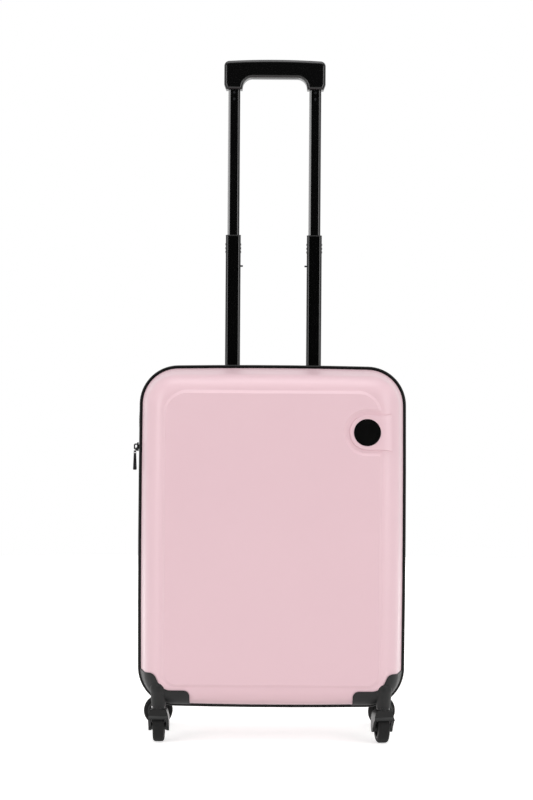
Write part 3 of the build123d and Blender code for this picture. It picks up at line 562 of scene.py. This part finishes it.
def webbing_band(side):
    """Band from the buckle to the wall, slightly slack, whose last stretch turns along the wall."""
    band = bmesh.new()
    length = STRAP_WALL - STRAP_START
    size = Matrix.Diagonal((length / 2, STRAP_HALF, 1.0, 1.0))
    place = Matrix.Translation((side * (STRAP_WALL + STRAP_START) / 2, STRAP_Y, STRAP_Z))
    bmesh.ops.create_grid(band, x_segments=STRAP_QUADS[0], y_segments=STRAP_QUADS[1], size=1.0,
                          matrix=place @ Matrix.Rotation(math.radians(90), 4, "X") @ size)
    run = band.verts.layers.float.new("run")
    for vert in band.verts:
        vert[run] = abs(vert.co.x) - STRAP_START
        vert.co.y -= STRAP_SAG * math.sin(math.pi * vert[run] / length)
    edges = [e for e in band.edges
             if all(abs(v.co.x) > STRAP_WALL - STRAP_SAG for v in e.verts)]
    for step in range(TAB_STEPS):
        lean = TAB_LEAN * min(1.0, (step + 1) / BEND_STEPS)
        ahead = Vector((side * math.cos(lean), math.sin(lean), 0))
        edges, ends = grow_edges(band, edges, ahead * TAB_STEP)
        for vert in ends:
            vert[run] += TAB_STEP
    bmesh.ops.recalc_face_normals(band, faces=band.faces[:])
    map_weave(band, lambda vert: (vert[run], vert.co.z))
    return band


def webbing():
    """Polypropylene webbing with a dull sheen: ribs about 1.5 mm apart along the band."""
    material, tree, shader, place = start_material("woven_polypropylene_webbing")
    across, along = [add_node(tree, "ShaderNodeTexWave",
                              {"Scale": math.tau / (WAVE_RADIANS * width)},
                              {"Vector": (place, "UV")}, bands_direction=axis)
                     for axis, width in (("X", STRAP_RIB), ("Y", 2 * STRAP_RIB))]
    weave = add_node(tree, "ShaderNodeMath", links={0: (across, "Fac"), 1: (along, "Fac")},
                     operation="MULTIPLY")
    tone = add_node(tree, "ShaderNodeMix", {"A": linear("#0F0F10"), "B": linear("#2A2A2C")},
                    {"Factor": (weave, "Value")}, data_type="RGBA")
    bump = add_node(tree, "ShaderNodeBump", {"Strength": 0.6, "Distance": 0.0004},
                    {"Height": (weave, "Value")})
    set_shader(tree, shader, {"Base Color": (tone, "Result"), "Normal": (bump, "Normal")},
               {"Roughness": 0.65, "Sheen Weight": 0.2})
    return material


band_cloth = webbing()
for name, side in (("left", -1), ("right", 1)):
    band = add_piece(f"packing_strap_{name}", webbing_band(side), band_cloth, "rear_case")
    thicken(band, STRAP_THICK, offset=0.0)
    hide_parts("packing_straps")


# Badge
# A plain disc of gloss black enamel on a pressed plate, let into the tongue of the front panel
# and glued in its seat.

def black_enamel():
    """Gloss enamel: deep black, with a very slight pooling that bends the reflections."""
    material, tree, shader, place = start_material("gloss_black_enamel")
    pool = add_node(tree, "ShaderNodeTexNoise", {"Scale": 1 / 0.008, "Detail": 1.0},
                    {"Vector": (place, "Object")})
    gloss = add_node(tree, "ShaderNodeMapRange", {"To Min": 0.16, "To Max": 0.24},
                     {"Value": (pool, "Fac")})
    bump = add_node(tree, "ShaderNodeBump", {"Strength": 0.03, "Distance": 0.0004},
                    {"Height": (pool, "Fac")})
    set_shader(tree, shader, {"Roughness": (gloss, "Result"), "Normal": (bump, "Normal")},
               {"Base Color": linear("#070707"), "IOR": 1.34})
    return material


dress(black_enamel(), "front_badge")


# Corner guards, trolley cup and caster forks
# Guards and cup are injection-moulded dark grey polypropylene, spark-eroded in the mould to an even
# matte pebble with a broad dull sheen. The forks are a tougher, smoother black nylon.

CASTERS = ["front_left", "front_right", "rear_left", "rear_right"]


def grey_polypropylene():
    """Matte textured polypropylene with pebbles about 0.8 mm across, coarse enough to show."""
    material, tree, shader, place = start_material("pebbled_grey_polypropylene")
    pebble = add_node(tree, "ShaderNodeTexVoronoi", {"Scale": 1 / 0.0008},
                      {"Vector": (place, "Object")})
    tone = add_node(tree, "ShaderNodeMix", {"A": linear("#131414"), "B": linear("#0D0E0E")},
                    {"Factor": (pebble, "Distance")}, data_type="RGBA")
    gloss = add_node(tree, "ShaderNodeMapRange", {"To Min": 0.48, "To Max": 0.62},
                     {"Value": (pebble, "Distance")})
    bump = add_node(tree, "ShaderNodeBump", {"Strength": 0.15, "Distance": 0.0003},
                    {"Height": (pebble, "Distance")})
    set_shader(tree, shader, {"Base Color": (tone, "Result"), "Roughness": (gloss, "Result"),
                              "Normal": (bump, "Normal")}, {"IOR": 1.4})
    return material


def fork_nylon():
    """Moulded nylon: satin, with a faint flow mottle about 1.2 mm across."""
    material, tree, shader, place = start_material("satin_black_fork_nylon")
    flow = add_node(tree, "ShaderNodeTexNoise", {"Scale": 1 / 0.0012, "Detail": 2.0},
                    {"Vector": (place, "Object")})
    tone = add_node(tree, "ShaderNodeMix", {"A": linear("#050505"), "B": linear("#0D0D0E")},
                    {"Factor": (flow, "Fac")}, data_type="RGBA")
    gloss = add_node(tree, "ShaderNodeMapRange", {"To Min": 0.26, "To Max": 0.36},
                     {"Value": (flow, "Fac")})
    set_shader(tree, shader, {"Base Color": (tone, "Result"), "Roughness": (gloss, "Result")},
               {"IOR": 1.38})
    return material


dress(grey_polypropylene(), "front_guard_left", "front_guard_right", "rear_guard_left",
      "rear_guard_right", "handle_bezel")
dress(fork_nylon(), *[f"{caster}_fork" for caster in CASTERS])


# Wheels, axles and small fittings
# Dark rubber tyres moulded round nylon hubs, on blackened steel axles riveted into the fork legs.
# The handle's bushes, collars and foot bracket and the strap buckle are of the same nylon.

def tyre_rubber():
    """Moulded rubber: dull, with a fine dusty mottle."""
    material, tree, shader, place = start_material("moulded_tyre_rubber")
    dust = add_node(tree, "ShaderNodeTexNoise", {"Scale": 1 / 0.0012, "Detail": 4.0},
                    {"Vector": (place, "Object")})
    tone = add_node(tree, "ShaderNodeMix", {"A": linear("#0A0A0A"), "B": linear("#161616")},
                    {"Factor": (dust, "Fac")}, data_type="RGBA")
    bump = add_node(tree, "ShaderNodeBump", {"Strength": 0.2, "Distance": 0.0003},
                    {"Height": (dust, "Fac")})
    set_shader(tree, shader, {"Base Color": (tone, "Result"), "Normal": (bump, "Normal")},
               {"Roughness": 0.7, "IOR": 1.33})
    return material


def black_nylon():
    """Glass-filled nylon: near black with a faint speckle from the fibres."""
    material, tree, shader, place = start_material("moulded_black_nylon")
    speck = add_node(tree, "ShaderNodeTexNoise", {"Scale": 1 / 0.0006, "Detail": 2.0},
                     {"Vector": (place, "Object")})
    tone = add_node(tree, "ShaderNodeMix", {"A": linear("#141415"), "B": linear("#222223")},
                    {"Factor": (speck, "Fac")}, data_type="RGBA")
    set_shader(tree, shader, {"Base Color": (tone, "Result")}, {"Roughness": 0.45, "IOR": 1.53})
    return material


def blackened_steel():
    """Oxidised steel with fine turning marks."""
    material, tree, shader, place = start_material("blackened_steel")
    marks = add_node(tree, "ShaderNodeTexNoise", {"Scale": 1 / 0.0005, "Detail": 2.0},
                     {"Vector": (place, "Object")})
    gloss = add_node(tree, "ShaderNodeMapRange", {"To Min": 0.28, "To Max": 0.42},
                     {"Value": (marks, "Fac")})
    set_shader(tree, shader, {"Roughness": (gloss, "Result")},
               {"Base Color": linear("#4A4B4E"), "Metallic": 1.0})
    return material


dress(tyre_rubber(), *[f"{caster}_tyre" for caster in CASTERS])
dress(black_nylon(), "tube_foot_bracket", "strap_buckle", "lower_end_bushes", "upper_end_bushes",
      "collar_left", "collar_right", *[f"{caster}_hub" for caster in CASTERS])
dress(blackened_steel(), "front_swivel_pins", "rear_swivel_pins", "stop_pins", "tube_rivets",
      *[f"{caster}_axle" for caster in CASTERS])


# Trolley tubes and push rods
# Extruded aluminium tubes, anodised black and left glossy, so their rounded corners catch a sharp
# bright streak down the whole length.

def black_aluminium():
    """Gloss black anodising: a dark dye under a clear hard skin with faint drawing lines."""
    material, tree, shader, place = start_material("gloss_black_anodised_aluminium")
    stretch = add_node(tree, "ShaderNodeMapping", {"Scale": (1.0, 1.0, 0.01)},
                       {"Vector": (place, "Object")})
    lines = add_node(tree, "ShaderNodeTexNoise", {"Scale": 1 / 0.0007, "Detail": 2.0},
                     {"Vector": (stretch, "Vector")})
    gloss = add_node(tree, "ShaderNodeMapRange", {"To Min": 0.12, "To Max": 0.18},
                     {"Value": (lines, "Fac")})
    set_shader(tree, shader, {"Roughness": (gloss, "Result")},
               {"Base Color": linear("#030303"), "IOR": 1.6})
    return material


dress(black_aluminium(), "outer_tube_left", "outer_tube_right", "lower_tube_left",
      "lower_tube_right", "upper_tube_left", "upper_tube_right", "push_rods")


# Grip and release trigger
# Two halves of black ABS with a fine leather-like mould grain, screwed round the tubes' tops, and
# a trigger strip of the same ABS in the underside.

def grip_abs():
    """Satin black ABS with a shallow grain about 1 mm across."""
    material, tree, shader, place = start_material("grained_black_abs")
    grain = add_node(tree, "ShaderNodeTexNoise", {"Scale": 1 / 0.001, "Detail": 2.0},
                     {"Vector": (place, "Object")})
    gloss = add_node(tree, "ShaderNodeMapRange", {"To Min": 0.17, "To Max": 0.25},
                     {"Value": (grain, "Fac")})
    bump = add_node(tree, "ShaderNodeBump", {"Strength": 0.03, "Distance": 0.0003},
                    {"Height": (grain, "Fac")})
    set_shader(tree, shader, {"Roughness": (gloss, "Result"), "Normal": (bump, "Normal")},
               {"Base Color": linear("#020202"), "IOR": 1.58})
    return material


dress(grip_abs(), "grip_front", "grip_back", "release_trigger")


# Zip slider and pull
# Zinc die castings with a worn black lacquer. The slider runs on the teeth of both halves, and the
# pull hangs from its bail.

def lacquered_zinc():
    """Black lacquer over zinc: satin, rubbed a little brighter in places about 3 mm across."""
    material, tree, shader, place = start_material("black_lacquered_zinc")
    rub = add_node(tree, "ShaderNodeTexNoise", {"Scale": 1 / 0.003, "Detail": 3.0},
                   {"Vector": (place, "Object")})
    tone = add_node(tree, "ShaderNodeMix", {"A": linear("#121213"), "B": linear("#3A3A3C")},
                    {"Factor": (rub, "Fac")}, data_type="RGBA")
    set_shader(tree, shader, {"Base Color": (tone, "Result")}, {"Metallic": 0.6, "Roughness": 0.35})
    return material


dress(lacquered_zinc(), "zip_slider", "zip_pull")


# Camera, light and floor
# The view is level and square to the front from nearly three metres, as in the photograph. Soft
# lamps stand round the case at a plain level, and the floor and backdrop are white paper.

CAMERA_PLACE = (-0.0095, -2.8, 0.498)
CAMERA_LENS, CAMERA_SENSOR = 84.3, 36.0
CAMERA_ROLL = math.radians(0.4)
WHITE = (1.0, 1.0, 1.0, 1.0)

camera = bpy.data.objects.new("camera", bpy.data.cameras.new("camera"))
bpy.context.scene.collection.objects.link(camera)
camera.data.lens = CAMERA_LENS
camera.data.sensor_width = CAMERA_SENSOR
camera.matrix_world = (Matrix.Translation(CAMERA_PLACE) @ Matrix.Rotation(math.radians(90), 4, "X")
                       @ Matrix.Rotation(CAMERA_ROLL, 4, "Z"))
bpy.context.scene.camera = camera

# Each lamp's place, size, power in watts, and the height on the case that it is turned to.
SOFTBOXES = {
    "left_softbox": ((-1.7, -2.0, 0.8), (1.0, 1.6), 17.5, 0.35),
    "right_softbox": ((1.7, -2.0, 0.8), (1.0, 1.6), 17.5, 0.35),
    "left_wall": ((-1.6, 0.0, 0.9), (2.0, 1.8), 7.0, 0.5),
    "right_wall": ((1.6, 0.0, 0.9), (2.0, 1.8), 7.0, 0.5),
    "top_softbox": ((0.0, -0.7, 2.6), (2.2, 1.4), 19.0, 0.4),
    "back_softbox": ((0.0, 2.6, 1.1), (3.2, 2.0), 28.0, 0.4),
    "tube_panel": ((-0.55, 0.0, 0.95), (1.2, 0.5), 8.5, 0.95),
}
upper_tubes = bpy.data.collections.new("upper_tubes")
for name in ("upper_tube_left", "upper_tube_right"):
    upper_tubes.objects.link(nodes[name])
for name, (spot, size, power, aim) in SOFTBOXES.items():
    lamp = bpy.data.lights.new(name, "AREA")
    lamp.shape = "RECTANGLE"
    lamp.size, lamp.size_y = size
    lamp.energy = power
    holder = bpy.data.objects.new(name, lamp)
    holder.location = spot
    heading = Vector((0.0, 0.0, aim)) - Vector(spot)
    holder.rotation_euler = heading.to_track_quat("-Z", "Y").to_euler()
    holder.visible_camera = False
    holder.visible_glossy = name != "back_softbox"
    if name == "tube_panel":
        holder.light_linking.receiver_collection = upper_tubes
    bpy.context.scene.collection.objects.link(holder)

AMBIENT = 0.45
UNLIT = 0.01  # what gloss mirrors in front of the case and at its sides
PAPER_FADES = {"Y": (0.2, 0.85), "Z": (0.3, 0.85)}  # headings where it comes to mirror white paper


def straight_rays(tree):
    """The light path, and 1 for rays that see the background itself or through glass."""
    path = add_node(tree, "ShaderNodeLightPath")
    straight = add_node(tree, "ShaderNodeMath", operation="MAXIMUM",
                        links={0: (path, "Is Camera Ray"), 1: (path, "Is Transmission Ray")})
    return path, straight


world = bpy.data.worlds.new("studio")
world.use_nodes = True
bpy.context.scene.world = world
sky = world.node_tree
direction = add_node(sky, "ShaderNodeTexCoord")
axes = add_node(sky, "ShaderNodeSeparateXYZ", links={"Vector": (direction, "Generated")})
backdrop, ceiling = [add_node(sky, "ShaderNodeMapRange",
                              {"From Min": low, "From Max": high, "To Min": UNLIT, "To Max": 1.0},
                              {"Value": (axes, axis)})
                     for axis, (low, high) in PAPER_FADES.items()]
bright = add_node(sky, "ShaderNodeMath", operation="MAXIMUM",
                  links={0: (backdrop, "Result"), 1: (ceiling, "Result")})
sky_path, sky_straight = straight_rays(sky)
mirrored = add_node(sky, "ShaderNodeMapRange", {"To Min": AMBIENT},
                    {"Value": (sky_path, "Is Glossy Ray"), "To Max": (bright, "Value")})
level = add_node(sky, "ShaderNodeMapRange", {"To Max": 1.0},
                 {"Value": (sky_straight, "Value"), "To Min": (mirrored, "Result")})
sky.links.new(level.outputs["Result"], sky.nodes["Background"].inputs["Strength"])
sky.nodes["Background"].inputs["Color"].default_value = WHITE

FLOOR_RADIUS, FLOOR_SIDES = 3.2, 64
HAZE_NEAR, HAZE_FAR, HAZE_START = 0.5, 1.6, 0.6  # the paper turns white away from the case
BEHIND_START, BEHIND_END = -1.0, 0.0  # gloss mirrors the white only behind the case


def white_paper():
    """Matte seamless paper that takes the case's shadow and goes over into the white backdrop."""
    material, tree, shader, place = start_material("white_paper_floor")
    far_off = add_node(tree, "ShaderNodeVectorMath", links={0: (place, "Object")},
                       operation="LENGTH")
    haze = add_node(tree, "ShaderNodeMapRange",
                    {"From Min": HAZE_NEAR, "From Max": HAZE_FAR, "To Min": HAZE_START,
                     "To Max": 1.0}, {"Value": (far_off, "Value")})
    axes = add_node(tree, "ShaderNodeSeparateXYZ", links={"Vector": (place, "Object")})
    behind = add_node(tree, "ShaderNodeMapRange",
                      {"From Min": BEHIND_START, "From Max": BEHIND_END}, {"Value": (axes, "Y")})
    path, straight = straight_rays(tree)
    mirrored = add_node(tree, "ShaderNodeMath", operation="MULTIPLY",
                        links={0: (path, "Is Glossy Ray"), 1: (behind, "Result")})
    seen = add_node(tree, "ShaderNodeMath", operation="MAXIMUM",
                    links={0: (straight, "Value"), 1: (mirrored, "Value")})
    glow = add_node(tree, "ShaderNodeMath", operation="MULTIPLY",
                    links={0: (haze, "Result"), 1: (seen, "Value")})
    set_shader(tree, shader, {"Emission Strength": (glow, "Value")},
               {"Base Color": linear("#ECEBE9"), "Roughness": 0.9, "Emission Color": WHITE})
    return material


disc = bmesh.new()
bmesh.ops.create_circle(disc, cap_ends=True, segments=FLOOR_SIDES, radius=FLOOR_RADIUS)
floor = place_object("floor", disc)
floor.data.materials.append(white_paper())

bpy.context.scene.view_settings.view_transform = "Standard"
